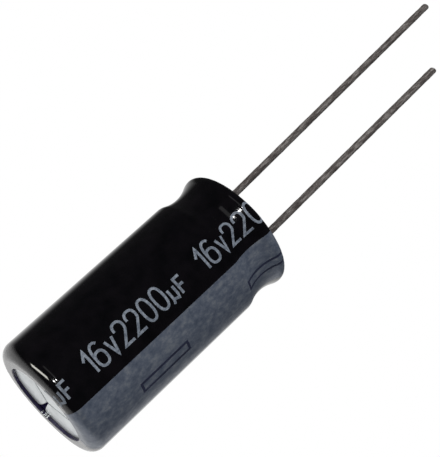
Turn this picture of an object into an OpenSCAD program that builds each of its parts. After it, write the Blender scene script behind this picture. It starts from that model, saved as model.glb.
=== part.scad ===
// Radial aluminium electrolytic capacitor, standing on its vent end with its leads up.
// The origin is the centre of the vent end, and +Z runs towards the leads.
// All sizes are in millimetres and all angles in degrees.

/* [Body] */
// Diameter over the shrunk sleeve
body_d = 10.3; // [9.8:0.1:12]
// Length over the sleeve, without the leads
body_l = 20.5; // [19:0.5:30]
// Wall of the shrunk sleeve
sleeve_t = 0.15; // [0.1:0.05:0.25]
// Radius of the sleeve's corner at the vent end
vent_corner_r = 1; // [0.8:0.1:1.3]
// Diameter of the bare metal left in view at the vent end
vent_opening_d = 7; // [6:0.1:7.2]
// Width of the sleeve's edge that turns in to the dished vent face
vent_lip_w = 0.2; // [0.15:0.05:0.25]
// Diameter of the opening in the sleeve at the lead end
lead_opening_d = 8.9; // [8.4:0.1:9.1]

/* [Can] */
// Wall of the can
can_t = 0.3; // [0.25:0.05:0.4]
// Radius of the rolled edge that closes the can, over its outside
curl_r = 0.4; // [0.34:0.02:0.5]
// Depth that the rolled edge turns down to the seal
curl_drop = 0.3; // [0.2:0.05:0.5]
// Step of the head's radius over the body's
head_step = 0.1; // [0:0.05:0.15]
// Width of each score line of the vent
score_w = 0.22; // [0.15:0.01:0.35]
// Depth of each score line
score_depth = 0.12; // [0.06:0.02:0.18]
// Depth of the dished vent face
vent_dish = 0.25; // [0.1:0.05:0.35]
// Clearance between the dish's side and the sleeve's turned-in edge
vent_lip_gap = 0.1; // [0.05:0.05:0.15]
// Number of score lines that meet at the middle of the vent end
score_lines = 3; // [2:1:4]
// Length of each score line
score_l = 3.3; // [2:0.1:3.5]
// Angle of the first score line about the axis
score_angle = 90; // [0:1:120]

/* [Bead] */
// Distance from the middle of the bead to the lead end
bead_back = 2.4; // [2.3:0.05:2.8]
// Depth of the bead
bead_depth = 0.36; // [0.25:0.01:0.5]
// Radius of the bead's hollow, on the sleeve
bead_hollow_r = 3.2; // [2.4:0.1:3.6]
// Radius of the bead's shoulders, on the sleeve
bead_shoulder_r = 1; // [0.8:0.05:1.1]

/* [Seal] */
// Thickness of the rubber bung under the rolled edge
bung_t = 3.4; // [3:0.1:4]
// Rise of the bung's middle over its shoulder
bung_rise = 0.35; // [0.2:0.05:0.45]

/* [Leads] */
// Distance between the two leads
lead_pitch = 5; // [4.5:0.1:5.5]
// Diameter of a lead wire
lead_d = 0.6; // [0.5:0.05:0.7]
// Length of the positive lead beyond the body
lead_l_positive = 28.1; // [15:0.1:40]
// Length of the negative lead beyond the body
lead_l_negative = 22.2; // [12:0.1:36]
// Lean of both leads to the side, off the axis
lead_lean = 1.7; // [0:0.1:3]
// Spread of the two leads from each other
lead_spread = 0.35; // [0:0.05:0.5]
// Angle of the negative lead about the axis
lead_angle = -37; // [-90:1:0]
// Diameter of the aluminium post that the wire is welded to
post_d = 1.2; // [1:0.05:1.4]
// Length of the taper from the post to its tab
post_taper = 0.5; // [0.3:0.1:0.8]
// Depth of the weld below the bung's middle
weld_depth = 0.7; // [0.4:0.1:1.2]
// Diameter of the weld at the wire's foot
weld_d = 0.9; // [0.8:0.05:1]
// Rise of the weld's taper over the bung's middle
weld_rise = 0.15; // [0.1:0.05:0.3]
// Thickness of the flat tab rolled from the post
tab_t = 0.24; // [0.2:0.02:0.28]
// Width of the flat tab
tab_w = 1.6; // [1.2:0.1:1.8]

/* [Winding] */
// Diameter of the empty core
core_d = 1.5; // [1.2:0.1:1.8]
// Least clearance between the winding and the can
winding_clearance = 0.15; // [0.1:0.01:0.2]
// Thickness of the anode foil
anode_t = 0.1; // [0.08:0.01:0.11]
// Thickness of the cathode foil
cathode_t = 0.045; // [0.03:0.005:0.05]
// Thickness of each paper separator
paper_t = 0.045; // [0.03:0.005:0.05]
// Clearance between neighbouring strips
strip_gap = 0.008; // [0.005:0.001:0.01]
// Thickness of the tape round the winding
tape_t = 0.05; // [0.03:0.01:0.08]
// Distance that the papers reach past the foils at each end
paper_margin = 0.6; // [0.3:0.1:1]
// Distance that the tape stops short of the papers at each end
tape_margin = 1; // [0.5:0.1:2]
// Free space between the winding and the bung
head_space = 0.9; // [0.9:0.1:1.5]

/* [Print] */
// Thickness of the printed stripe
ink_t = 0.03; // [0.02:0.005:0.05]
// Width of the stripe, straight across
stripe_w = 5.6; // [4:0.1:6.5]
// Angle of the stripe's middle about the axis, at the bead
stripe_angle = -41; // [-90:1:0]
// Slant of the stripe below the bead
stripe_skew = 3; // [0:0.5:4]
// Distance from the vent end to the start of the stripe's ink
stripe_start = 0.15; // [0.1:0.05:0.5]
// Length of a minus mark
mark_l = 4.9; // [3:0.1:6]
// Width of a minus mark
mark_w = 0.95; // [0.6:0.05:1.4]
// Width of the bare line round a minus mark
mark_line = 0.14; // [0.1:0.01:0.25]
// Distance from the vent end to the first minus mark
mark_start = 5.4; // [3:0.1:7]
// Distance from one minus mark to the next
mark_step = 11.4; // [8:0.1:14]
// Offset of the marks from the stripe's middle at the bead
mark_shift = 0.1; // [-0.8:0.05:0.8]

/* [Hidden] */
$fn = 96;

body_r = body_d / 2;
head_r = body_r + head_step;
bead_z = body_l - bead_back;
// Reach of a cutter past the surface that it cuts
past = 1;

// The bead is a hollow arc between two shoulder arcs that touch it, and all their centres stay
// where they are while the outline moves in
hollow_x = body_r - bead_depth + bead_hollow_r;
low_shoulder_x = body_r - bead_shoulder_r;
high_shoulder_x = head_r - bead_shoulder_r;
bead_reach = bead_hollow_r + bead_shoulder_r;
low_shoulder_z = bead_z - sqrt(pow(bead_reach, 2) - pow(hollow_x - low_shoulder_x, 2));
high_shoulder_z = bead_z + sqrt(pow(bead_reach, 2) - pow(hollow_x - high_shoulder_x, 2));

can_inset = sleeve_t;
bore_inset = sleeve_t + can_t;
head_corner_r = curl_r + sleeve_t;
// Centre of the rolled edge's section
curl_x = head_r - can_inset - curl_r;
curl_z = body_l - can_inset - curl_r;
lip_inner_r = curl_x - curl_r;

bung_shoulder_z = curl_z - curl_drop;
bung_bottom_z = bung_shoulder_z - bung_t;
bung_top_z = bung_shoulder_z + bung_rise;
// Gap between the bung's middle and the turned-down edge
lip_gap = 0.05;

weld_z = bung_top_z - weld_depth;
post_r = post_d / 2;
lead_r = lead_d / 2;
// Length of the weld's taper
weld_l = weld_depth + weld_rise;

vent_face_z = can_inset + vent_dish;
vent_dish_r = vent_opening_d / 2 + vent_lip_w + vent_lip_gap;
winding_bottom_z = vent_face_z + can_t;
winding_top_z = bung_bottom_z - head_space;
layer_t = [anode_t, paper_t, cathode_t, paper_t];
ANODE = 0;
INNER = 1;
CATHODE = 2;
OUTER = 3;
// Distance from a turn's inner face to the inner face of each of its layers
layer_at = [
    0,
    anode_t + strip_gap,
    anode_t + paper_t + 2 * strip_gap,
    anode_t + paper_t + cathode_t + 3 * strip_gap
];
winding_pitch = layer_at[OUTER] + paper_t + strip_gap;
// Reach of the skin of ink to each side of the stripe's middle, before it is trimmed
ink_reach = 60;
// Room that a tab takes between two layers
tab_room = tab_t + strip_gap;
// Full turns of each strip, as many as the can holds with one turn of tape round them
turns = floor((body_r - bore_inset - winding_clearance - tape_t - core_d / 2 - tab_room) / winding_pitch) - 1;
half_turns = 2 * turns;
// Half turn at whose start each tab lies: odd on the positive side, even on the negative side
tab_half_negative = 2 * round(tab_steps(CATHODE) / 2);
tab_half_positive = 2 * round((tab_steps(ANODE) - 1) / 2) + 1;

function tab_steps(layer) =
    (lead_pitch / 2 - tab_t / 2 - core_d / 2 - layer_at[layer] - layer_t[layer]) / (winding_pitch / 2);

// A tab pushes out all that is wound over it, on its own side
function tab_push(i, layer) =
    let (on_negative = i % 2 == 0)
    let (tab_i = on_negative ? tab_half_negative : tab_half_positive)
    let (tab_layer = on_negative ? CATHODE : ANODE)
    (i > tab_i || (i == tab_i && layer > tab_layer)) ? tab_room : 0;

// Radius at which a layer's inner face crosses the row of the leads
function crossing(i, layer) =
    core_d / 2 + i * winding_pitch / 2 + layer_at[layer] + tab_push(i, layer);

// Region outside the bead of the outline that lies a distance inside the sleeve's surface
module bead_cut(inset) {
    shoulder = bead_shoulder_r - inset;
    low_touch_x = low_shoulder_x + (hollow_x - low_shoulder_x) * shoulder / bead_reach;
    high_touch_x = high_shoulder_x + (hollow_x - high_shoulder_x) * shoulder / bead_reach;
    translate([hollow_x, bead_z]) circle(r = bead_hollow_r + inset);
    difference() {
        translate([low_touch_x, low_shoulder_z]) square([past + shoulder, bead_z - low_shoulder_z]);
        translate([low_shoulder_x, low_shoulder_z]) circle(r = shoulder);
    }
    difference() {
        translate([high_touch_x, bead_z]) square([past + shoulder, high_shoulder_z - bead_z]);
        translate([high_shoulder_x, high_shoulder_z]) circle(r = shoulder);
    }
}

// Half section of the body, moved in from the sleeve's surface by a distance
module outline(inset) {
    low_r = body_r - inset;
    top_r = head_r - inset;
    top_z = body_l - inset;
    corner = vent_corner_r - inset;
    head_corner = head_corner_r - inset;
    difference() {
        union() {
            translate([0, inset]) square([low_r - corner, bead_z - inset]);
            translate([0, inset + corner]) square([low_r, bead_z - inset - corner]);
            translate([low_r - corner, inset + corner]) circle(r = corner);
            translate([0, bead_z]) square([top_r, top_z - head_corner - bead_z]);
            translate([0, bead_z]) square([top_r - head_corner, top_z - bead_z]);
            translate([top_r - head_corner, top_z - head_corner]) circle(r = head_corner);
        }
        bead_cut(inset);
    }
}

// Slab that keeps one span of heights of a profile
module span(low, high) {
    translate([0, low]) square([head_r + past, high - low]);
}

// Half a ring in the plane, above or below the row of the leads
module half_ring(inner_r, outer_r, upper) {
    intersection() {
        difference() {
            circle(r = outer_r);
            circle(r = inner_r);
        }
        translate([-2 * outer_r, upper ? 0 : -2 * outer_r]) square([4 * outer_r, 2 * outer_r]);
    }
}

// Strip wound in half turns, each a half ring that starts where the last one ends
module strip(layer, thickness, first, last, low, high) {
    translate([0, 0, low]) linear_extrude(high - low) union() {
        for (i = [first : last - 1]) {
            side = i % 2 == 0 ? 1 : -1;
            start_r = crossing(i, layer);
            end_r = crossing(i + 1, layer);
            mean_r = (start_r + end_r) / 2;
            translate([side * (start_r - end_r) / 2, 0])
                half_ring(mean_r, mean_r + thickness, side == 1);
        }
    }
}

// Turns a piece from the row of the leads on the X axis to the leads' real angle
module on_leads() {
    rotate(lead_angle) children();
}

// Post that is rolled into a curved tab below its taper, on one side of the axis
module terminal(side, tab_face_r) {
    sector = asin(tab_w / 2 / (tab_face_r + tab_t / 2));
    tab_bottom_z = winding_bottom_z + 2 * paper_margin;
    on_leads() rotate(side == 1 ? 0 : 180) union() {
        translate([lead_pitch / 2, 0, bung_bottom_z]) cylinder(r = post_r, h = weld_z - bung_bottom_z);
        translate([lead_pitch / 2, 0, bung_bottom_z - post_taper])
            cylinder(r1 = post_r / 2, r2 = post_r, h = post_taper);
        translate([0, 0, tab_bottom_z]) rotate(-sector) rotate_extrude(angle = 2 * sector)
            translate([tab_face_r, 0]) square([tab_t, bung_bottom_z - post_taper / 2 - tab_bottom_z]);
    }
}

// Wire with the taper of its weld at its foot, cut square there and leaning from the weld on
module lead_wire(side, free_l, lean) {
    wire_l = (body_l - weld_z + free_l) / cos(lean);
    on_leads() translate([side * lead_pitch / 2, 0, weld_z]) rotate(-lead_angle) difference() {
        rotate([0, -lean, 0]) rotate_extrude() polygon([
            [0, -lead_r],
            [weld_d / 2, -lead_r],
            [weld_d / 2, 0],
            [lead_r, weld_l],
            [lead_r, wire_l],
            [0, wire_l]
        ]);
        translate([0, 0, -past]) cube([2 * past, 2 * past, 2 * past], center = true);
    }
}

// Bare line round a minus mark, as a cutter that lies along X
module mark_ring() {
    difference() {
        translate([0, -mark_w / 2, 0]) cube([body_r + past, mark_w, mark_l]);
        translate([0, -mark_w / 2 + mark_line, mark_line])
            cube([body_r + past, mark_w - 2 * mark_line, mark_l - 2 * mark_line]);
    }
}

module sleeve() {
    color([0.05, 0.05, 0.06]) rotate_extrude() union() {
        difference() {
            outline(0);
            outline(sleeve_t);
            square([vent_opening_d / 2, sleeve_t + vent_corner_r]);
            translate([0, body_l - head_corner_r]) square([lead_opening_d / 2, 2 * head_corner_r]);
        }
        translate([vent_opening_d / 2, 0]) square([vent_lip_w, vent_face_z]);
    }
}

// Skin of ink on the sleeve, over one span of heights
module ink_skin(low, high) {
    rotate(-ink_reach) rotate_extrude(angle = 2 * ink_reach) difference() {
        outline(-ink_t);
        outline(0);
        span(low - body_l, low);
        span(high, high + body_l);
    }
}

// Slab that trims the ink to the stripe's width, up from its own base
module stripe_slab(low, high) {
    translate([0, -stripe_w / 2, low]) cube([body_r + past, stripe_w, high - low]);
}

module polarity_stripe() {
    color([0.36, 0.40, 0.46]) rotate(stripe_angle) difference() {
        union() {
            intersection() {
                ink_skin(stripe_start, low_shoulder_z);
                translate([0, 0, low_shoulder_z]) rotate([stripe_skew, 0, 0])
                    stripe_slab(-body_l, body_l);
            }
            intersection() {
                ink_skin(low_shoulder_z, body_l);
                stripe_slab(0, body_l);
            }
        }
        for (z = [mark_start : mark_step : body_l - mark_line]) {
            translate([0, mark_shift, z]) mark_ring();
        }
    }
}

module can() {
    color([0.78, 0.78, 0.80]) difference() {
        rotate_extrude() difference() {
            union() {
                intersection() {
                    difference() {
                        outline(can_inset);
                        outline(bore_inset);
                    }
                    span(0, curl_z);
                }
                translate([0, can_inset]) square([vent_dish_r + can_t, vent_dish + can_t]);
                intersection() {
                    translate([curl_x, curl_z]) difference() {
                        circle(r = curl_r);
                        circle(r = curl_r - can_t);
                    }
                    span(curl_z, body_l);
                }
                translate([lip_inner_r, curl_z - curl_drop]) square([can_t, curl_drop]);
            }
            square([vent_dish_r, vent_face_z]);
        }
        for (i = [0 : score_lines - 1]) {
            rotate(score_angle + i * 360 / score_lines)
                translate([-score_w / 2, -score_w / 2, vent_face_z - past])
                cube([score_l + score_w / 2, score_w, past + score_depth]);
        }
    }
}

module bung() {
    color([0.10, 0.10, 0.11]) difference() {
        rotate_extrude() union() {
            intersection() {
                outline(bore_inset);
                span(bung_bottom_z, bung_shoulder_z);
            }
            translate([0, bung_bottom_z]) square([lip_inner_r - lip_gap, bung_t + bung_rise]);
        }
        on_leads() for (side = [-1, 1]) {
            translate([side * lead_pitch / 2, 0, bung_bottom_z - past])
                cylinder(r = post_r, h = bung_t + bung_rise + 2 * past);
        }
    }
}

module lead_wire_positive() {
    color([0.72, 0.72, 0.70]) lead_wire(-1, lead_l_positive, lead_lean + lead_spread);
}

module lead_wire_negative() {
    color([0.72, 0.72, 0.70]) lead_wire(1, lead_l_negative, lead_lean - lead_spread);
}

module terminal_positive() {
    color([0.80, 0.80, 0.82])
        terminal(-1, crossing(tab_half_positive, ANODE) + anode_t + strip_gap / 2);
}

module terminal_negative() {
    color([0.80, 0.80, 0.82])
        terminal(1, crossing(tab_half_negative, CATHODE) + cathode_t + strip_gap / 2);
}

module anode_foil() {
    color([0.55, 0.55, 0.56]) on_leads() strip(ANODE, anode_t, 0, half_turns,
        winding_bottom_z + paper_margin, winding_top_z - paper_margin);
}

module cathode_foil() {
    color([0.70, 0.70, 0.72]) on_leads() strip(CATHODE, cathode_t, 0, half_turns,
        winding_bottom_z + paper_margin, winding_top_z - paper_margin);
}

module separator_inner() {
    color([0.87, 0.80, 0.66]) on_leads() strip(INNER, paper_t, 0, half_turns,
        winding_bottom_z, winding_top_z);
}

module separator_outer() {
    color([0.90, 0.83, 0.70]) on_leads() strip(OUTER, paper_t, 0, half_turns,
        winding_bottom_z, winding_top_z);
}

// The tape carries on where the next turn of the winding would start
module winding_tape() {
    color([0.80, 0.62, 0.30]) on_leads() strip(ANODE, tape_t, half_turns, half_turns + 2,
        winding_bottom_z + tape_margin, winding_top_z - tape_margin);
}

sleeve();
polarity_stripe();
can();
bung();
lead_wire_positive();
lead_wire_negative();
terminal_positive();
terminal_negative();
anode_foil();
cathode_foil();
separator_inner();
separator_outer();
winding_tape();
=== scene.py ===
"""Looks of a radial electrolytic capacitor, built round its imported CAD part."""

import math

import bpy
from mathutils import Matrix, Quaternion, Vector

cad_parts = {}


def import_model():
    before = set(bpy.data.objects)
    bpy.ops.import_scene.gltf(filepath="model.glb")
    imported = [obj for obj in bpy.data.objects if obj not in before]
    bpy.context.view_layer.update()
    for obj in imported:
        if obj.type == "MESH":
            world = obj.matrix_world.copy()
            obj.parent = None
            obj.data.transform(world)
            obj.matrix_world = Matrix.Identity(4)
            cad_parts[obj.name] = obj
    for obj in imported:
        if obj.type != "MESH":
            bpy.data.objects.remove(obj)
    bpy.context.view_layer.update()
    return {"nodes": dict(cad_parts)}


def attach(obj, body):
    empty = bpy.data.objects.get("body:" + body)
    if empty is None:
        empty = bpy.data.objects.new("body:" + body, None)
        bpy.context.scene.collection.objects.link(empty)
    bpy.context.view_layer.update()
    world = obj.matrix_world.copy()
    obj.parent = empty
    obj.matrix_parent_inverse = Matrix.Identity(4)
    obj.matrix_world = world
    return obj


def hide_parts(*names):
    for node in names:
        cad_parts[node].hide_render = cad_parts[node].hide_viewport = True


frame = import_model()

# Sizes are in millimetres, the same as the CAD part's, and angles are in degrees
MM = 0.001

# Outside of the sleeved body
BODY_R = 5.15
BODY_L = 20.5
VENT_CORNER_R = 1.0
HEAD_R = 5.25
HEAD_CORNER_R = 0.55
BEAD_Z = BODY_L - 2.4
BEAD_DEPTH = 0.36
BEAD_HOLLOW_R = 3.2
BEAD_SHOULDER_R = 1.0

# The sleeve's wall, its openings and its lip at the vent
SLEEVE_T = 0.15
LEAD_OPENING_R = 4.45
VENT_OPENING_R = 3.5
VENT_LIP_W = 0.2
VENT_LIP_ROUND = 0.08
VENT_LIP_CHAMFER = 0.04
VENT_LIP_BACK_H = 0.03
# The lip's unevenness, as waves with their depth, count in a turn and phase in radians, and
# the distance from the opening at which it ends
LIP_WAVES = [(0.03, 3, 0.6), (0.015, 8, 2.0)]
LIP_WAVE_REACH = 0.6
# The cut edge, which carries painted shade, is what lies this near to the opening and this far
# behind the film's face
EDGE_SHADE_W = 0.1
EDGE_SHADE_START = 0.02
# Between these angles the cut edge takes the can's aluminium finish, as painted glints
GLINT_SPANS = [(76.5, 78.5), (80.0, 83.0), (85.5, 87.0)]

# Depths under the CAD sleeve's surface at which the film, the ink and the marks lie
FILM_INSET = 0.014
INK_INSET = 0.008
MARK_INSET = 0.002

# The can's wall, the edge rolled over the bung, and its play in the sleeve
CAN_T = 0.3
CAN_GAP = 0.004
CURL_R = 0.4
CURL_DROP = 0.3
CURL_CHAMFER = 0.03
# Angle by which the arc inside the roll stops short of a half turn at each end
CURL_SHORT = 10

# The vent's panel, and the can's dish round it
PANEL_Z = 0.3
PANEL_R = 3.78
PANEL_T = 0.3
DISH_GAP = 0.02
DISH_CHAMFER = 0.05
# The can's outline starts this far outside the panel
DISH_W = 0.1
# The petals between the score lines are crowned by this much, which they reach at this angle
# from the nearest line and at this distance from the axis
PETAL_CROWN = 0.022
PETAL_HALF_ANGLE = 60
PETAL_START_R = 1.5

# The vent's score lines run out from their middle at these angles
SCORE_MIDDLE = (0.0, 0.3)
SCORE_ANGLES = (90, 227, 321)
SCORE_L = 3.3
SCORE_W = 0.13
SCORE_DEPTH = 0.09
# Power of the score's side, and how far inside that side its painted shade, a darker metal, starts
SCORE_SIDE = 0.7
SCORE_SHADE_START = SCORE_W * 0.25
# The first score opens into a shallow notch that widens towards the sleeve's edge, half width at
# each radius; painted shade darkens its faces
NOTCH = [(0.0, 0.05), (0.6, 0.09), (2.35, 0.21), (2.9, 0.34), (3.6, 0.5)]
NOTCH_DEPTH = 0.05
NOTCH_SIDE_W = 0.06

# The wires, their pitch, and the welds at their feet
LEAD_R = 0.3
LEAD_PITCH = 5.0
LEAD_ANGLE = -37.0
WELD_Z = 19.3
WELD_R = 0.45
WELD_L = 0.85
# Each wire's side of the axis, length beyond the body, lean, and seed of its unevenness
LEADS = {
    "lead_wire_positive": {"side": -1, "free": 28.1, "lean": 2.05, "seed": 1.3},
    "lead_wire_negative": {"side": 1, "free": 22.2, "lean": 1.35, "seed": 4.1},
}
# Radius of a wire at distances from its foot
WELD_TAPER = [(0.02, WELD_R), (0.3, WELD_R - 0.04), (0.6, LEAD_R + 0.05), (WELD_L, LEAD_R)]
# What a wire's radius loses at distances from its tip, and where the tip begins
TIP_TAPER = [(0.10, 0.015), (0.05, 0.05), (0.03, 0.09)]
TIP_L = 0.16
# The sheared tip is cut back by this much on one side, over the last stretch
SHEAR = 0.10
SHEAR_L = 0.2
# Depth under the CAD wire's surface, and the waves by which a wire strays from round, each
# with its depth, its pace in radians per millimetre and its share of the wire's seed
WIRE_INSET = 0.004
WIRE_WAVES = [(0.006, 3.1, 1), (0.004, 7.7, 2)]

# Edges of the stripe and of its minus marks about the axis, and the marks' ends on the film
STRIPE_NEAR = -69.0
STRIPE_FAR = -13.5
MARK_LINE = 0.21
MARK_NEAR = -46.7
MARK_FAR = -35.3
MARK_L = 4.85
MARK_STARTS = [5.3, 16.6]

# The rating is repeated along the body, and its foot faces the stripe
TEXT = "16v2200µF"
TEXT_START = 2.95
TEXT_STEP = 11.26
TEXT_REPEATS = (-1, 0, 1)
TEXT_BASE = -79.4
CAP_HEIGHT = 2.03
STROKE = 0.205
LETTER_GAP = 0.17
# Power that squares a letter's ovals, and the least cosine that a corner's mitre divides by
OVAL_SQUARE = 0.82
MITRE_LIMIT = 0.45
# A stroke whose ends are nearer than this is closed
TOUCHING = 1e-6

# Steps along the stretches of the body's half section, in their order from the vent
FLAT_STEPS = 4
CORNER_STEPS = 24
WALL_STEPS = 60
SHOULDER_STEPS = 12
HOLLOW_STEPS = 30
HEAD_STEPS = 16
# Steps of the sleeve's lips and of the can's rolled edge, outside and inside
LIP_STEPS = 8
CURL_STEPS = 28
CURL_BORE_STEPS = 10
# Steps about the axis, and rings of the vent's panel
SLEEVE_TURN_STEPS = 240
CAN_TURN_STEPS = 192
PANEL_TURN_STEPS = 360
PANEL_RINGS = 54
# Steps across and along the stripe, and across and along a mark's lines
STRIPE_COLUMNS = 48
STRIPE_ROWS = 300
MARK_COLUMNS = 6
MARK_ROW_L = 0.1
# Strips across a letter's stroke, and the length of its pieces
STROKE_STRIPS = 4
STROKE_STEP = 0.12
# Steps about and along a wire
WIRE_TURN_STEPS = 32
WIRE_STEPS = 160

# Places along a noise, from 0 to 1, where the tones of a material lie
TWO_TONES = (0.3, 0.7)
THREE_TONES = (0.32, 0.5, 0.68)
DRAWN_TONES = (0.34, 0.5, 0.68)
# How far the roughness of the inner pieces strays to each side
METAL_ROUGH_SPREAD = 0.08
SOFT_ROUGH_SPREAD = 0.1

# Background of the studio, and the plain soft level that lights the part from all sides
WHITE = (1, 1, 1, 1)
SOFT_LEVEL = 0.6

# Pale floor, which fades into the white background between two distances from the part
FLOOR_TONE = (0.86, 0.86, 0.86, 1)
FLOOR_ROUGHNESS = 0.6
FLOOR_HALF = 700
FLOOR_Z = -0.01
FLOOR_FADE = (40, 130)

# Dim room that the gloss sees, the heading of its opening, and the angles from that heading
# at which the opening starts to fade and ends
ROOM_LEVEL = 0.04
ROOM_R = 380
ROOM_COLUMNS = 48
ROOM_ROWS = 24
OPENING = (85, -31)
OPENING_EDGE = (44, 70)

# Lamps that light the part without showing in its gloss, and lamps that show there too, each
# with its azimuth, elevation, width, height, watts and colour
LAMP_DISTANCE = 300
PLAIN = (1, 1, 1)
WARM = (1.0, 0.98, 0.9)
SOFT_LAMPS = {
    "key": (-125, 42, 160, 160, 1.0, PLAIN),
    "fill": (-30, 5, 160, 160, 0.4, PLAIN),
    "back": (95, 48, 140, 140, 0.5, PLAIN),
}
GLOSS_LAMPS = {
    "low": (-146, -42, 190, 62, 0.5, WARM),
    "low_spark": (-109, -22, 14, 26, 0.12, PLAIN),
    "high_spark": (-108, -2.5, 11, 16, 0.08, PLAIN),
    "band": (-124, 3, 150, 46, 0.009, PLAIN),
}

# The photograph's camera, fitted to the body's silhouette. The sensor spans the picture's
# longer side, which is its height
CAMERA_PLACE = (0, -88.6524, -15.0643)
CAMERA_TARGET = (-0.8614, 0, 19.3289)
CAMERA_ROLL = 47.4510
FOCAL_PIXELS = 1214.7455
PICTURE_H = 457
SENSOR_W = 36.0
CLIP_START = 1.0


# Shared helpers

def rgb(red, green, blue):
    """Linear colour of an 8-bit display colour."""
    def linear(v):
        """Linear value of one 8-bit channel."""
        v /= 255
        return v / 12.92 if v <= 0.04045 else ((v + 0.055) / 1.055) ** 2.4
    return (linear(red), linear(green), linear(blue), 1.0)


def heading(azimuth, elevation):
    """Unit vector from its angles about the axis and above the vent's plane."""
    a, e = math.radians(azimuth), math.radians(elevation)
    return (math.cos(e) * math.cos(a), math.cos(e) * math.sin(a), math.sin(e))


def arc(centre, radius, start, end, steps):
    """Points on an arc in the half section, from one angle to another."""
    points = []
    for i in range(steps + 1):
        a = math.radians(start + (end - start) * i / steps)
        points.append((centre[0] + radius * math.cos(a), centre[1] + radius * math.sin(a)))
    return points


def outline(inset):
    """Half section of the body from the vent's opening to the lead end's, moved in by inset."""
    # Middles of the bead's hollow, of the shoulders below and above it, and of the head's corner
    hollow = (BODY_R - BEAD_DEPTH + BEAD_HOLLOW_R, BEAD_Z)
    reach = BEAD_HOLLOW_R + BEAD_SHOULDER_R
    low_x = BODY_R - BEAD_SHOULDER_R
    high_x = HEAD_R - BEAD_SHOULDER_R
    low = (low_x, BEAD_Z - math.sqrt(reach ** 2 - (hollow[0] - low_x) ** 2))
    high = (high_x, BEAD_Z + math.sqrt(reach ** 2 - (hollow[0] - high_x) ** 2))
    low_turn = math.degrees(math.atan2(BEAD_Z - low[1], hollow[0] - low_x))
    high_turn = math.degrees(math.atan2(high[1] - BEAD_Z, hollow[0] - high_x))
    head = (HEAD_R - HEAD_CORNER_R, BODY_L - HEAD_CORNER_R)
    shoulder_r = BEAD_SHOULDER_R - inset
    last_turn = math.degrees(math.asin(max(0.0, high[1] - head[1]) / shoulder_r))

    flat_r = VENT_OPENING_R + VENT_LIP_ROUND
    corner = (BODY_R - VENT_CORNER_R, VENT_CORNER_R)
    flat_w = corner[0] - flat_r
    wall_h = low[1] - VENT_CORNER_R
    points = [(flat_r + flat_w * k / FLAT_STEPS, inset) for k in range(FLAT_STEPS)]
    points += arc(corner, VENT_CORNER_R - inset, -90, 0, CORNER_STEPS)
    for k in range(1, WALL_STEPS):
        points.append((BODY_R - inset, VENT_CORNER_R + wall_h * k / WALL_STEPS))
    points += arc(low, shoulder_r, 0, low_turn, SHOULDER_STEPS)
    points += arc(hollow, BEAD_HOLLOW_R + inset, 180 + low_turn, 180 - high_turn, HOLLOW_STEPS)[1:]
    points += arc(high, shoulder_r, -high_turn, -last_turn, SHOULDER_STEPS)[1:]
    points += arc(head, HEAD_CORNER_R - inset, 0, 90, HEAD_STEPS)[1:]
    points.append((LEAD_OPENING_R, BODY_L - inset))
    return points


def path_lengths(points):
    """Distance along the outline of each point, equal to z on the straight wall."""
    lengths = [0.0]
    for a, b in zip(points, points[1:]):
        lengths.append(lengths[-1] + math.dist(a, b))
    on_wall = next(i for i, (_, z) in enumerate(points) if z >= VENT_CORNER_R)
    shift = points[on_wall][1] - lengths[on_wall]
    return [length + shift for length in lengths]


class Film:
    """Place on the body's surface of a point given by its angle and its height on the film."""

    def __init__(self, inset):
        self.points = outline(inset)
        self.heights = path_lengths(self.points)

    def at(self, angle, height):
        """Point at an angle and a height, kept between the film's two ends."""
        height = min(max(height, self.heights[0]), self.heights[-1])
        i = 0
        while i < len(self.heights) - 2 and self.heights[i + 1] < height:
            i += 1
        t = (height - self.heights[i]) / (self.heights[i + 1] - self.heights[i])
        r = self.points[i][0] + t * (self.points[i + 1][0] - self.points[i][0])
        z = self.points[i][1] + t * (self.points[i + 1][1] - self.points[i][1])
        a = math.radians(angle)
        return (r * math.cos(a), r * math.sin(a), z)


def mesh_object(name, verts, faces, materials):
    """Smooth mesh object from points in millimetres."""
    mesh = bpy.data.meshes.new(name)
    mesh.from_pydata([Vector(v) * MM for v in verts], [], faces)
    mesh.validate()
    mesh.shade_smooth()
    for material in materials:
        mesh.materials.append(material)
    obj = bpy.data.objects.new(name, mesh)
    bpy.context.scene.collection.objects.link(obj)
    return obj


def revolve(section, steps, wave=None):
    """Points and faces of a closed section turned about the axis."""
    verts = []
    for s in range(steps):
        a = 2 * math.pi * s / steps
        for r, z in section:
            grow = wave(r, a) if wave else 0.0
            verts.append(((r + grow) * math.cos(a), (r + grow) * math.sin(a), z))
    n = len(section)
    faces = []
    for s in range(steps):
        t = (s + 1) % steps
        for i in range(n):
            j = (i + 1) % n
            faces.append((s * n + i, t * n + i, t * n + j, s * n + j))
    return verts, faces


def ring_faces(rings, steps):
    """Faces between closed rings of points that follow one another."""
    faces = []
    for j in range(rings - 1):
        for i in range(steps):
            k = (i + 1) % steps
            faces.append((j * steps + i, j * steps + k, (j + 1) * steps + k, (j + 1) * steps + i))
    return faces


def finish_piece(obj, slot, *nodes):
    """Rides a piece on the part and lets it stand for CAD nodes."""
    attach(obj, "root")
    if nodes:
        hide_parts(*nodes)


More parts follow.
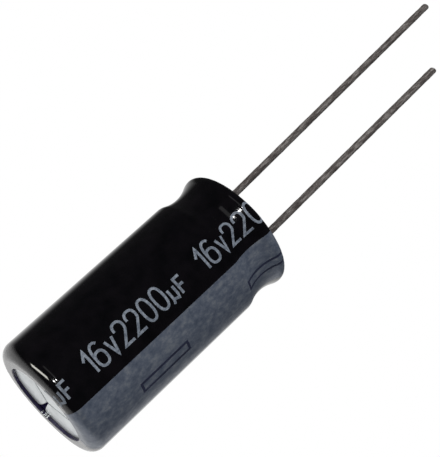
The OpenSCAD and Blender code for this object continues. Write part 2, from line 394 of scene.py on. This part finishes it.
class Tree:
    """Short calls for the nodes of a material or of the world."""

    def __init__(self, owner):
        owner.use_nodes = True
        self.nodes = owner.node_tree.nodes
        self.links = owner.node_tree.links

    def feed(self, socket, value):
        """Links another node's output to a socket, or sets a constant on it."""
        if isinstance(value, bpy.types.NodeSocket):
            self.links.new(value, socket)
        else:
            socket.default_value = value

    def add(self, kind, **inputs):
        """New node with its inputs fed, an underscore standing for a space in their names."""
        node = self.nodes.new(kind)
        for key, value in inputs.items():
            self.feed(node.inputs[key.replace("_", " ")], value)
        return node

    def maths(self, operation, first, second):
        """Result of an operation on two numbers."""
        node = self.nodes.new("ShaderNodeMath")
        node.operation = operation
        self.feed(node.inputs[0], first)
        self.feed(node.inputs[1], second)
        return node.outputs["Value"]

    def vector_maths(self, operation, result, first, second=None):
        """Named result of an operation on one or two vectors."""
        node = self.nodes.new("ShaderNodeVectorMath")
        node.operation = operation
        self.feed(node.inputs[0], first)
        if second is not None:
            self.feed(node.inputs[1], second)
        return node.outputs[result]

    def fade(self, value, start, end):
        """Smooth step from 0 where a value is at start to 1 where it is at end."""
        node = self.nodes.new("ShaderNodeMapRange")
        node.interpolation_type = "SMOOTHSTEP"
        self.feed(node.inputs["From Min"], start)
        self.feed(node.inputs["From Max"], end)
        self.feed(node.inputs["Value"], value)
        return node.outputs["Result"]

    def show_mix(self, output, share, first, second):
        """Shows the mix of two shaders, with a share of the second one."""
        node = self.nodes.new("ShaderNodeMixShader")
        for i, source in enumerate((share, first, second)):
            self.feed(node.inputs[i], source)
        self.links.new(node.outputs[0], self.nodes[output].inputs["Surface"])


# Materials

class Shader(Tree):
    """Procedural material with constants and noises on its surface."""

    def __init__(self, name, **constants):
        self.material = bpy.data.materials.new(name)
        super().__init__(self.material)
        self.surface = self.nodes["Principled BSDF"]
        for key, value in constants.items():
            self.surface.inputs[key.replace("_", " ")].default_value = value
        self.coords = self.add("ShaderNodeTexCoord").outputs["Object"]

    def noise(self, scale, detail=2.0, stretch=(1, 1, 1), roughness=0.5):
        """Noise in the object's own coordinates, its scale counted per metre."""
        mapping = self.add("ShaderNodeMapping", Scale=stretch, Vector=self.coords)
        node = self.add(
            "ShaderNodeTexNoise", Scale=scale, Detail=detail, Roughness=roughness,
            Vector=mapping.outputs["Vector"],
        )
        return node.outputs["Fac"]

    def spread(self, source, low, high):
        """Value between two ends that follows a noise."""
        node = self.add("ShaderNodeMapRange", To_Min=low, To_Max=high, Value=source)
        return node.outputs["Result"]

    def colour(self, source, places, *tones):
        """Base colour that runs through tones placed along a noise."""
        node = self.add("ShaderNodeValToRGB", Fac=source)
        elements = node.color_ramp.elements
        while len(elements) < len(tones):
            elements.new(0.5)
        for element, place, tone in zip(elements, places, tones):
            element.position = place
            element.color = tone
        self.feed(self.surface.inputs["Base Color"], node.outputs["Color"])

    def rough(self, source, low, high):
        """Roughness between two ends that follows a noise."""
        self.feed(self.surface.inputs["Roughness"], self.spread(source, low, high))

    def bump(self, *layers):
        """Stacks bump layers, each a height and its distance in millimetres."""
        normal = None
        for height, distance in layers:
            node = self.add("ShaderNodeBump", Strength=1.0, Distance=distance * MM, Height=height)
            if normal is not None:
                self.feed(node.inputs["Normal"], normal)
            normal = node.outputs["Normal"]
        self.feed(self.surface.inputs["Normal"], normal)


def sleeve_material():
    s = Shader("sleeve_film", Specular_IOR_Level=0.5)
    s.colour(s.noise(900, detail=3), TWO_TONES, rgb(1, 1, 2), rgb(5, 4, 6))
    s.rough(s.noise(500), 0.07, 0.12)
    swell = s.noise(160, detail=1.5, stretch=(1, 1, 0.5))
    s.bump((swell, 0.02), (s.noise(2200), 0.0005))
    return s.material


# Painted shade: dark navy that stands in for the shade and the dark reflections in the recess
# behind the vent's lip
def edge_shade_material():
    s = Shader("film_edge_painted_shade", Specular_IOR_Level=0.4)
    s.colour(s.noise(1500, detail=3), TWO_TONES, rgb(20, 17, 40), rgb(38, 32, 66))
    s.rough(s.noise(900), 0.35, 0.5)
    return s.material


# Painted shade: flat dark colour without gloss for the faces in the vent's notch
def notch_shade_material():
    s = Shader("notch_painted_shade", Specular_IOR_Level=0.0, Roughness=0.9)
    s.colour(s.noise(1500, detail=3), TWO_TONES, rgb(14, 12, 32), rgb(26, 22, 48))
    return s.material


def stripe_material():
    s = Shader("stripe_ink", Metallic=0.4, Specular_IOR_Level=1.0)
    blotch = s.noise(2300, detail=4, stretch=(1, 1, 0.7), roughness=0.72)
    s.colour(blotch, THREE_TONES, rgb(58, 66, 81), rgb(75, 82, 95), rgb(97, 102, 110))
    s.rough(s.noise(1500), 0.30, 0.42)
    s.bump((blotch, 0.002))
    return s.material


def lettering_material():
    s = Shader("lettering_ink", Specular_IOR_Level=0.35)
    fine = s.noise(4200, detail=3, roughness=0.7)
    s.colour(fine, THREE_TONES, rgb(58, 64, 73), rgb(80, 86, 95), rgb(100, 106, 114))
    s.rough(fine, 0.35, 0.5)
    s.bump((fine, 0.002))
    return s.material


def bare_line_material():
    s = Shader("bare_line", Specular_IOR_Level=0.5)
    s.colour(s.noise(900, detail=3), TWO_TONES, rgb(20, 23, 38), rgb(30, 33, 50))
    s.rough(s.noise(500), 0.2, 0.3)
    return s.material


def can_material():
    s = Shader("can_aluminium", Metallic=0.8)
    grain = s.noise(3000, detail=3, stretch=(1, 0.12, 1), roughness=0.6)
    s.colour(s.noise(700, detail=3), TWO_TONES, rgb(182, 186, 188), rgb(202, 206, 208))
    s.rough(grain, 0.28, 0.42)
    s.bump((grain, 0.002), (s.noise(500), 0.006))
    return s.material


# Painted shade: darker aluminium that darkens the depth of the score lines
def score_shade_material():
    s = Shader("score_painted_shade", Metallic=0.8)
    s.colour(s.noise(1500, detail=3), TWO_TONES, rgb(70, 76, 76), rgb(96, 102, 102))
    s.rough(s.noise(1200), 0.4, 0.5)
    return s.material


def rubber_material():
    s = Shader("bung_rubber", Specular_IOR_Level=0.35)
    s.colour(s.noise(1800, detail=4), TWO_TONES, rgb(24, 24, 26), rgb(38, 38, 40))
    s.rough(s.noise(1200, detail=3), 0.5, 0.68)
    s.bump((s.noise(3500, detail=3), 0.006))
    return s.material


def lead_material():
    s = Shader("lead_tin", Metallic=0.6, Specular_IOR_Level=0.1, Specular_Tint=(0, 0, 0, 1))
    drawn = s.noise(5200, detail=3, stretch=(1, 1, 0.22), roughness=0.75)
    s.colour(drawn, DRAWN_TONES, rgb(70, 65, 64), rgb(97, 92, 90), rgb(142, 138, 136))
    s.rough(s.noise(1600, detail=3), 0.36, 0.55)
    s.bump((drawn, 0.003), (s.noise(900), 0.006))
    return s.material


def metal_material(name, low, high, roughness):
    s = Shader(name, Metallic=1.0)
    grain = s.noise(2600, detail=3)
    s.colour(grain, TWO_TONES, low, high)
    s.rough(grain, roughness - METAL_ROUGH_SPREAD, roughness + METAL_ROUGH_SPREAD)
    s.bump((grain, 0.003))
    return s.material


def soft_material(name, low, high, roughness):
    s = Shader(name, Specular_IOR_Level=0.3)
    grain = s.noise(2200, detail=4, stretch=(1, 1, 0.4), roughness=0.65)
    s.colour(grain, TWO_TONES, low, high)
    s.rough(grain, roughness - SOFT_ROUGH_SPREAD, roughness + SOFT_ROUGH_SPREAD)
    s.bump((grain, 0.004))
    return s.material


# Pieces

def sleeve(material, edge_shade_finish, glint_finish):
    """Shrunk film with a rounded, slightly uneven lip at each end."""
    half = (SLEEVE_T - FILM_INSET) / 2
    lead_lip = arc((LEAD_OPENING_R, BODY_L - FILM_INSET - half), half, 100, 260, LIP_STEPS)
    back_r = VENT_OPENING_R + VENT_LIP_W
    vent_lip = [
        (back_r, SLEEVE_T),
        (back_r, PANEL_Z - VENT_LIP_BACK_H),
        (back_r - VENT_LIP_CHAMFER, PANEL_Z),
        (VENT_OPENING_R + VENT_LIP_CHAMFER, PANEL_Z),
        (VENT_OPENING_R, PANEL_Z - VENT_LIP_CHAMFER),
    ]
    round_middle = (VENT_OPENING_R + VENT_LIP_ROUND, FILM_INSET + VENT_LIP_ROUND)
    vent_lip += arc(round_middle, VENT_LIP_ROUND, 180, 270, LIP_STEPS)[:-1]
    inner = [p for p in outline(SLEEVE_T) if p[0] > back_r]
    section = outline(FILM_INSET) + lead_lip + inner[::-1] + vent_lip

    def lip_wave(r, a):
        """What the waves add to a radius of the film at an angle in radians."""
        near = max(0.0, 1 - (r - VENT_OPENING_R) / LIP_WAVE_REACH)
        return near * sum(deep * math.sin(count * a + phase) for deep, count, phase in LIP_WAVES)

    verts, faces = revolve(section, SLEEVE_TURN_STEPS, lip_wave)
    piece = mesh_object("sleeve_film", verts, faces, [material, edge_shade_finish, glint_finish])
    # Painted shade: faces of the cut edge in the vent's opening take the dark navy finish
    for face in piece.data.polygons:
        x, y, z = face.center / MM
        if math.hypot(x, y) < VENT_OPENING_R + EDGE_SHADE_W and z > FILM_INSET + EDGE_SHADE_START:
            angle = math.degrees(math.atan2(y, x))
            # Painted glints: film faces between these angles take the can's aluminium, which
            # breaks the dark edge with bright spots
            glinting = any(low < angle < high for low, high in GLINT_SPANS)
            face.material_index = 2 if glinting else 1
    finish_piece(piece, "sleeve", "sleeve")


def can(material):
    """Drawn shell with its beaded neck and the rolled edge that grips the bung."""
    dish_r = PANEL_R + DISH_GAP
    curl = (HEAD_R - SLEEVE_T - CURL_R, BODY_L - SLEEVE_T - CURL_R)
    edge_r = curl[0] - CURL_R
    foot_z = curl[1] - CURL_DROP

    def wall(inset):
        """Outline from the dish to the roll, moved in by inset."""
        return [p for p in outline(inset) if p[0] > PANEL_R + DISH_W and p[1] < curl[1]]

    dish = [
        (dish_r, PANEL_Z + PANEL_T),
        (dish_r, SLEEVE_T + DISH_CHAMFER),
        (dish_r + DISH_CHAMFER, SLEEVE_T + CAN_GAP),
    ]
    rolled = arc(curl, CURL_R - CAN_GAP, 0, 180, CURL_STEPS)
    turned_in = [
        (edge_r + CAN_GAP, foot_z + CURL_CHAMFER),
        (edge_r + CURL_CHAMFER, foot_z),
        (edge_r + CAN_T, foot_z),
        (edge_r + CAN_T, curl[1]),
    ]
    bore = arc(curl, CURL_R - CAN_T, 180 - CURL_SHORT, CURL_SHORT, CURL_BORE_STEPS)
    section = dish + wall(SLEEVE_T + CAN_GAP) + rolled + turned_in + bore
    section += wall(SLEEVE_T + CAN_T)[::-1]
    verts, faces = revolve(section, CAN_TURN_STEPS)
    piece = mesh_object("can_shell", verts, faces, [material])
    finish_piece(piece, "can_metal", "can")


def from_line(x, y, angle):
    """Distance of a point along and off the line that leaves the middle at an angle."""
    a = math.radians(angle)
    x, y = x - SCORE_MIDDLE[0], y - SCORE_MIDDLE[1]
    return x * math.cos(a) + y * math.sin(a), abs(-x * math.sin(a) + y * math.cos(a))


def in_notch(x, y):
    """How far a point lies inside the notch's side, below 0 outside it."""
    along, off = from_line(x, y, SCORE_ANGLES[0])
    for (r0, w0), (r1, w1) in zip(NOTCH, NOTCH[1:]):
        if r0 <= along <= r1:
            return w0 + (w1 - w0) * (along - r0) / (r1 - r0) - off
    return -1.0


def in_score(x, y):
    """How far a point lies inside a score line's side, below 0 outside it."""
    lines = [from_line(x, y, angle) for angle in SCORE_ANGLES]
    return max(SCORE_W - off if -SCORE_W < along < SCORE_L else -1.0 for along, off in lines)


def score_depth(x, y):
    """Depth of the score lines and the notch under the panel's face at a point."""
    score = SCORE_DEPTH * max(0.0, in_score(x, y) / SCORE_W) ** SCORE_SIDE
    return max(score, NOTCH_DEPTH * min(1.0, max(0.0, in_notch(x, y) / NOTCH_SIDE_W)))


def petal_lift(x, y):
    """Slight crown of the three petals between the score lines."""
    a = math.degrees(math.atan2(y, x))
    from_score = min(abs((a - angle + 180) % 360 - 180) for angle in SCORE_ANGLES)
    across = math.sin(math.radians(min(1.0, from_score / PETAL_HALF_ANGLE) * 90))
    return PETAL_CROWN * across * min(1.0, math.hypot(x, y) / PETAL_START_R)


def vent_panel(material, notch_shade_finish, score_shade_finish):
    """Scored panel of the vent, sunk behind the sleeve's edge."""
    steps = PANEL_TURN_STEPS
    turns = [2 * math.pi * i / steps for i in range(steps)]
    verts = []
    for j in range(1, PANEL_RINGS + 1):
        r = PANEL_R * j / PANEL_RINGS
        for a in turns:
            x, y = r * math.cos(a), r * math.sin(a)
            verts.append((x, y, PANEL_Z + score_depth(x, y) - petal_lift(x, y)))
    faces = ring_faces(PANEL_RINGS, steps)
    rim, middle, back = len(verts) - steps, len(verts), len(verts) + 1
    verts.append((0, 0, PANEL_Z + score_depth(0, 0)))
    verts += [(PANEL_R * math.cos(a), PANEL_R * math.sin(a), PANEL_Z + PANEL_T) for a in turns]
    for i in range(steps):
        k = (i + 1) % steps
        faces.append((middle, k, i))
        faces.append((rim + i, rim + k, back + k, back + i))
    faces.append(tuple(range(back, back + steps)))
    piece = mesh_object("vent_panel", verts, faces, [material, notch_shade_finish, score_shade_finish])
    for face in piece.data.polygons:
        x, y, z = face.center / MM
        if z > PANEL_Z + PANEL_T / 2:
            continue
        # Painted shade: the notch's faces take the flat dark colour
        if in_notch(x, y) > 0:
            face.material_index = 1
        # Painted shade: faces deep in a score line take the darker metal
        elif in_score(x, y) > SCORE_SHADE_START:
            face.material_index = 2
    finish_piece(piece, "can_metal")


def film_grid(film, near, far, low, high, columns, rows):
    """Points and faces of a patch of film between two angles and two heights."""
    verts = []
    for j in range(rows + 1):
        height = low + (high - low) * j / rows
        for i in range(columns + 1):
            verts.append(film.at(near + (far - near) * i / columns, height))
    wide = columns + 1
    faces = [
        (j * wide + i, j * wide + i + 1, (j + 1) * wide + i + 1, (j + 1) * wide + i)
        for j in range(rows)
        for i in range(columns)
    ]
    return verts, faces


def polarity_stripe(material):
    """Band of ink from one lip to the other."""
    film = Film(INK_INSET)
    low, high = film.heights[0], film.heights[-1]
    verts, faces = film_grid(
        film, STRIPE_NEAR, STRIPE_FAR, low, high, STRIPE_COLUMNS, STRIPE_ROWS
    )
    piece = mesh_object("stripe_print", verts, faces, [material])
    finish_piece(piece, "stripe_ink", "polarity_stripe")


def minus_marks(material):
    """Bare outlines of the minus marks."""
    film = Film(MARK_INSET)
    verts, faces = [], []
    line = math.degrees(MARK_LINE / BODY_R)
    near, far = MARK_NEAR, MARK_FAR
    for low in MARK_STARTS:
        high = min(low + MARK_L, film.heights[-1])
        sides = [
            (near, near + line, low, high),
            (far - line, far, low, high),
            (near + line, far - line, low, low + MARK_LINE),
            (near + line, far - line, high - MARK_LINE, high),
        ]
        for a, b, start, end in sides:
            rows = max(2, int((end - start) / MARK_ROW_L))
            side_verts, side_faces = film_grid(film, a, b, start, end, MARK_COLUMNS, rows)
            faces += [tuple(k + len(verts) for k in face) for face in side_faces]
            verts += side_verts
    piece = mesh_object("minus_mark_lines", verts, faces, [material])
    finish_piece(piece, "sleeve")


def oval(cx, cy, rx, ry, start, end, steps):
    """Part of a slightly squared oval, as letter strokes use it."""
    points = []
    for i in range(steps + 1):
        a = math.radians(start + (end - start) * i / steps)
        c, s = math.cos(a), math.sin(a)
        points.append((
            cx + rx * math.copysign(abs(c) ** OVAL_SQUARE, c),
            cy + ry * math.copysign(abs(s) ** OVAL_SQUARE, s),
        ))
    return points


# Width over cap height of each character, and the middle lines of its strokes in a box of
# its own width and a height of 1
GLYPHS = {
    "0": (0.52, [oval(0.5, 0.5, 0.5, 0.5, 0, 360, 40)]),
    "1": (0.32, [[(0.0, 0.64), (1.0, 1.0), (1.0, 0.0)]]),
    "2": (0.52, [oval(0.5, 0.73, 0.5, 0.27, 185, -35, 22) + [(0.0, 0.0), (1.0, 0.0)]]),
    "6": (0.52, [
        oval(0.5, 0.31, 0.5, 0.31, 0, 360, 32),
        oval(0.55, 0.40, 0.55, 0.60, 180, 55, 18),
    ]),
    "v": (0.43, [[(0.0, 0.70), (0.5, 0.0), (1.0, 0.70)]]),
    "µ": (0.36, [
        [(-0.25, -0.10), (0.0, 0.04), (0.0, 0.52)],
        [(0.0, 0.08), (0.85, 0.0), (1.0, 0.14), (1.0, 0.52)],
    ]),
    "F": (0.38, [[(0.0, 0.0), (0.0, 0.70), (1.0, 0.70)], [(0.0, 0.36), (0.82, 0.36)]]),
}


def between(a, b, share):
    """Point on the way from one point to another."""
    return (a[0] + (b[0] - a[0]) * share, a[1] + (b[1] - a[1]) * share)


def resample(points, step):
    """Same path with its long segments cut into short ones."""
    out = [points[0]]
    for a, b in zip(points, points[1:]):
        count = max(1, math.ceil(math.dist(a, b) / step))
        out += [between(a, b, k / count) for k in range(1, count + 1)]
    return out


def direction(a, b):
    """Unit vector from one point to another."""
    size = math.dist(a, b)
    return ((b[0] - a[0]) / size, (b[1] - a[1]) / size)


def ribbon(points, width):
    """Left and right edges of a stroke along a path, mitred at its corners."""
    closed = math.dist(points[0], points[-1]) < TOUCHING
    left, right = [], []
    for i, p in enumerate(points):
        before = points[i - 1] if i else (points[-2] if closed else None)
        after = points[i + 1] if i < len(points) - 1 else (points[1] if closed else None)
        first = direction(before, p) if before else direction(p, after)
        second = direction(p, after) if after else first
        nx, ny = -(first[1] + second[1]), first[0] + second[0]
        size = math.hypot(nx, ny)
        nx, ny = nx / size, ny / size
        reach = width / 2 / max(MITRE_LIMIT, -first[1] * nx + first[0] * ny)
        left.append((p[0] + nx * reach, p[1] + ny * reach))
        right.append((p[0] - nx * reach, p[1] - ny * reach))
    return left, right


def add_ribbon(film, left, right, verts, faces):
    """Lays a stroke on the film, in strips across, where the film reaches."""
    low, high = film.heights[0], film.heights[-1]
    wide = STROKE_STRIPS + 1
    rows = [[between(a, b, k / STROKE_STRIPS) for k in range(wide)] for a, b in zip(left, right)]
    base = len(verts)
    for row in rows:
        for along, up in row:
            verts.append(film.at(TEXT_BASE - math.degrees(up / BODY_R), along))
    for j in range(len(rows) - 1):
        if all(low < along < high for along, _ in rows[j] + rows[j + 1]):
            for a in range(base + j * wide, base + j * wide + STROKE_STRIPS):
                faces.append((a, a + 1, a + 1 + wide, a + wide))


def lettering(material):
    """Generic rating, repeated along the body in stroke letters that lie on the film."""
    film = Film(MARK_INSET)
    verts, faces = [], []
    rise = CAP_HEIGHT - STROKE
    foot = STROKE / 2
    for repeat in TEXT_REPEATS:
        along = TEXT_START + repeat * TEXT_STEP
        for character in TEXT:
            share, strokes = GLYPHS[character]
            width = share * CAP_HEIGHT
            for stroke in strokes:
                path = [(along + foot + x * (width - STROKE), foot + y * rise) for x, y in stroke]
                left, right = ribbon(resample(path, STROKE_STEP), STROKE)
                add_ribbon(film, left, right, verts, faces)
            along += width + LETTER_GAP
    piece = mesh_object("rating_print", verts, faces, [material])
    finish_piece(piece, "stripe_ink")


def lead(name, side, free, lean, seed, material):
    """Tinned wire with a weld taper at its foot and a sheared tip."""
    turn, tilt = math.radians(LEAD_ANGLE), math.radians(lean)
    foot_r = side * LEAD_PITCH / 2
    foot = Vector((foot_r * math.cos(turn), foot_r * math.sin(turn), WELD_Z))
    axis = Vector((-math.sin(tilt), 0, math.cos(tilt)))
    across = Vector((math.cos(tilt), 0, math.sin(tilt)))
    depth = Vector((0, 1, 0))
    length = (BODY_L - WELD_Z + free) / math.cos(tilt)
    straight = length - TIP_L - WELD_L
    stations = WELD_TAPER + [
        (WELD_L + straight * k / WIRE_STEPS, LEAD_R) for k in range(1, WIRE_STEPS + 1)
    ]
    stations += [(length - back, LEAD_R - loss) for back, loss in TIP_TAPER]
    verts = []
    for at, radius in stations:
        waves = sum(deep * math.sin(at * pace + share * seed) for deep, pace, share in WIRE_WAVES)
        uneven = waves if radius == LEAD_R else 0.0
        shear = SHEAR if at > length - SHEAR_L else 0.0
        for k in range(WIRE_TURN_STEPS):
            a = 2 * math.pi * k / WIRE_TURN_STEPS
            r = radius - WIRE_INSET + uneven * math.cos(2 * a + at)
            slip = -shear * (0.5 - 0.5 * math.cos(a))
            p = foot + axis * (at + slip) + across * (r * math.cos(a)) + depth * (r * math.sin(a))
            verts.append(tuple(p))
    faces = ring_faces(len(stations), WIRE_TURN_STEPS)
    faces.append(tuple(reversed(range(WIRE_TURN_STEPS))))
    faces.append(tuple(range(len(verts) - WIRE_TURN_STEPS, len(verts))))
    piece = mesh_object(name + "_drawn", verts, faces, [material])
    finish_piece(piece, "lead_tin", name)


def dress_node(name, material):
    """Gives a CAD solid that has no mesh of its own here its finish."""
    materials = frame["nodes"][name].data.materials
    materials.clear()
    materials.append(material)


# Stage

def floor():
    """Pale floor at the vent's plane, shown from above only, so that the photo's view is clear."""
    material = bpy.data.materials.new("pale_floor")
    tree = Tree(material)
    surface = tree.nodes["Principled BSDF"]
    tree.feed(surface.inputs["Base Color"], FLOOR_TONE)
    tree.feed(surface.inputs["Roughness"], FLOOR_ROUGHNESS)
    clear = tree.add("ShaderNodeBsdfTransparent")
    below = tree.add("ShaderNodeNewGeometry").outputs["Backfacing"]
    camera_ray = tree.add("ShaderNodeLightPath").outputs["Is Camera Ray"]
    seen = tree.maths("MULTIPLY", camera_ray, tree.maths("SUBTRACT", 1.0, below))
    coords = tree.add("ShaderNodeTexCoord").outputs["Object"]
    away = tree.vector_maths("LENGTH", "Value", coords)
    near = tree.fade(away, FLOOR_FADE[1] * MM, FLOOR_FADE[0] * MM)
    shown = tree.maths("MULTIPLY", seen, near)
    tree.show_mix("Material Output", shown, clear.outputs[0], surface.outputs[0])
    corners = [(-1, -1), (1, -1), (1, 1), (-1, 1)]
    verts = [(x * FLOOR_HALF, y * FLOOR_HALF, FLOOR_Z) for x, y in corners]
    obj = mesh_object("floor", verts, [(0, 1, 2, 3)], [material])


def dark_room():
    """Dim room that only the gloss sees, with one wide soft opening to the white behind."""
    material = bpy.data.materials.new("room")
    tree = Tree(material)
    dim = tree.add("ShaderNodeEmission", Color=WHITE, Strength=ROOM_LEVEL)
    clear = tree.add("ShaderNodeBsdfTransparent")
    coords = tree.add("ShaderNodeTexCoord").outputs["Object"]
    unit = tree.vector_maths("NORMALIZE", "Vector", coords)
    facing = tree.vector_maths("DOT_PRODUCT", "Value", unit, heading(*OPENING))
    full, end = [math.cos(math.radians(angle)) for angle in OPENING_EDGE]
    tree.show_mix(
        "Material Output", tree.fade(facing, end, full), dim.outputs[0], clear.outputs[0]
    )
    verts = []
    for j in range(ROOM_ROWS + 1):
        for i in range(ROOM_COLUMNS):
            out = heading(360 * i / ROOM_COLUMNS, -90 + 180 * j / ROOM_ROWS)
            verts.append(Vector(out) * ROOM_R)
    faces = ring_faces(ROOM_ROWS + 1, ROOM_COLUMNS)
    obj = mesh_object("dark_room", verts, faces, [material])
    obj.visible_camera = False
    obj.visible_diffuse = False
    obj.visible_shadow = False


def world():
    """White for what the camera and the gloss see, and a plain soft level for the rest."""
    studio = bpy.data.worlds.new("studio")
    bpy.context.scene.world = studio
    tree = Tree(studio)
    soft = tree.nodes["Background"]
    tree.feed(soft.inputs["Color"], WHITE)
    tree.feed(soft.inputs["Strength"], SOFT_LEVEL)
    white = tree.add("ShaderNodeBackground", Color=WHITE, Strength=1.0)
    path = tree.add("ShaderNodeLightPath")
    seen = path.outputs["Is Camera Ray"]
    for kind in ("Is Glossy Ray", "Is Transmission Ray"):
        seen = tree.maths("MAXIMUM", seen, path.outputs[kind])
    tree.show_mix("World Output", seen, soft.outputs[0], white.outputs[0])


def lamp(name, azimuth, elevation, width, height, watts, colour, in_gloss):
    """Area lamp that faces the frame's origin, shown in the gloss or not."""
    light = bpy.data.lights.new(name, "AREA")
    light.shape = "RECTANGLE"
    light.size = width * MM
    light.size_y = height * MM
    light.energy = watts
    light.color = colour
    obj = bpy.data.objects.new(name, light)
    bpy.context.scene.collection.objects.link(obj)
    away = Vector(heading(azimuth, elevation))
    obj.location = away * LAMP_DISTANCE * MM
    obj.rotation_euler = away.to_track_quat("Z", "Y").to_euler()
    obj.visible_glossy = in_gloss


def camera():
    """The photo's view from below the vent end, rolled so that the leads point up and right."""
    data = bpy.data.cameras.new("camera")
    data.sensor_fit = "AUTO"
    data.sensor_width = SENSOR_W
    data.lens = FOCAL_PIXELS * SENSOR_W / PICTURE_H
    data.clip_start = CLIP_START * MM
    obj = bpy.data.objects.new("camera", data)
    bpy.context.scene.collection.objects.link(obj)
    place = Vector(CAMERA_PLACE)
    level = (Vector(CAMERA_TARGET) - place).to_track_quat("-Z", "Y")
    obj.rotation_mode = "QUATERNION"
    obj.rotation_quaternion = level @ Quaternion((0, 0, 1), math.radians(CAMERA_ROLL))
    obj.location = place * MM
    bpy.context.scene.camera = obj


def build():
    """Draws the pieces that have a mesh of their own here, and dresses the other solids."""
    film = sleeve_material()
    aluminium = can_material()
    # The can's aluminium also gives the painted glints on the sleeve's cut edge
    sleeve(film, edge_shade_material(), aluminium)
    polarity_stripe(stripe_material())
    minus_marks(bare_line_material())
    lettering(lettering_material())
    tin = lead_material()
    for name, values in LEADS.items():
        lead(name, material=tin, **values)
    can(aluminium)
    vent_panel(aluminium, notch_shade_material(), score_shade_material())

    terminal = metal_material("terminal_aluminium", rgb(196, 196, 200), rgb(216, 216, 220), 0.35)
    anode = metal_material("anode_etched", rgb(140, 140, 142), rgb(168, 168, 170), 0.7)
    cathode = metal_material("cathode_etched", rgb(180, 180, 183), rgb(204, 204, 206), 0.55)
    paper = soft_material("separator_paper", rgb(206, 188, 150), rgb(228, 212, 178), 0.85)
    tape = soft_material("amber_tape", rgb(196, 148, 70), rgb(222, 176, 96), 0.4)
    dress_node("bung", rubber_material())
    dress_node("terminal_positive", terminal)
    dress_node("terminal_negative", terminal)
    dress_node("anode_foil", anode)
    dress_node("cathode_foil", cathode)
    dress_node("separator_inner", paper)
    dress_node("separator_outer", paper)
    dress_node("winding_tape", tape)


def stage():
    """Sets the floor, the room, the background and the lamps."""
    floor()
    dark_room()
    world()
    for name, values in SOFT_LAMPS.items():
        lamp(name, *values, in_gloss=False)
    for name, values in GLOSS_LAMPS.items():
        lamp(name, *values, in_gloss=True)


build()
stage()
camera()

bpy.context.scene.view_settings.view_transform = "Standard"
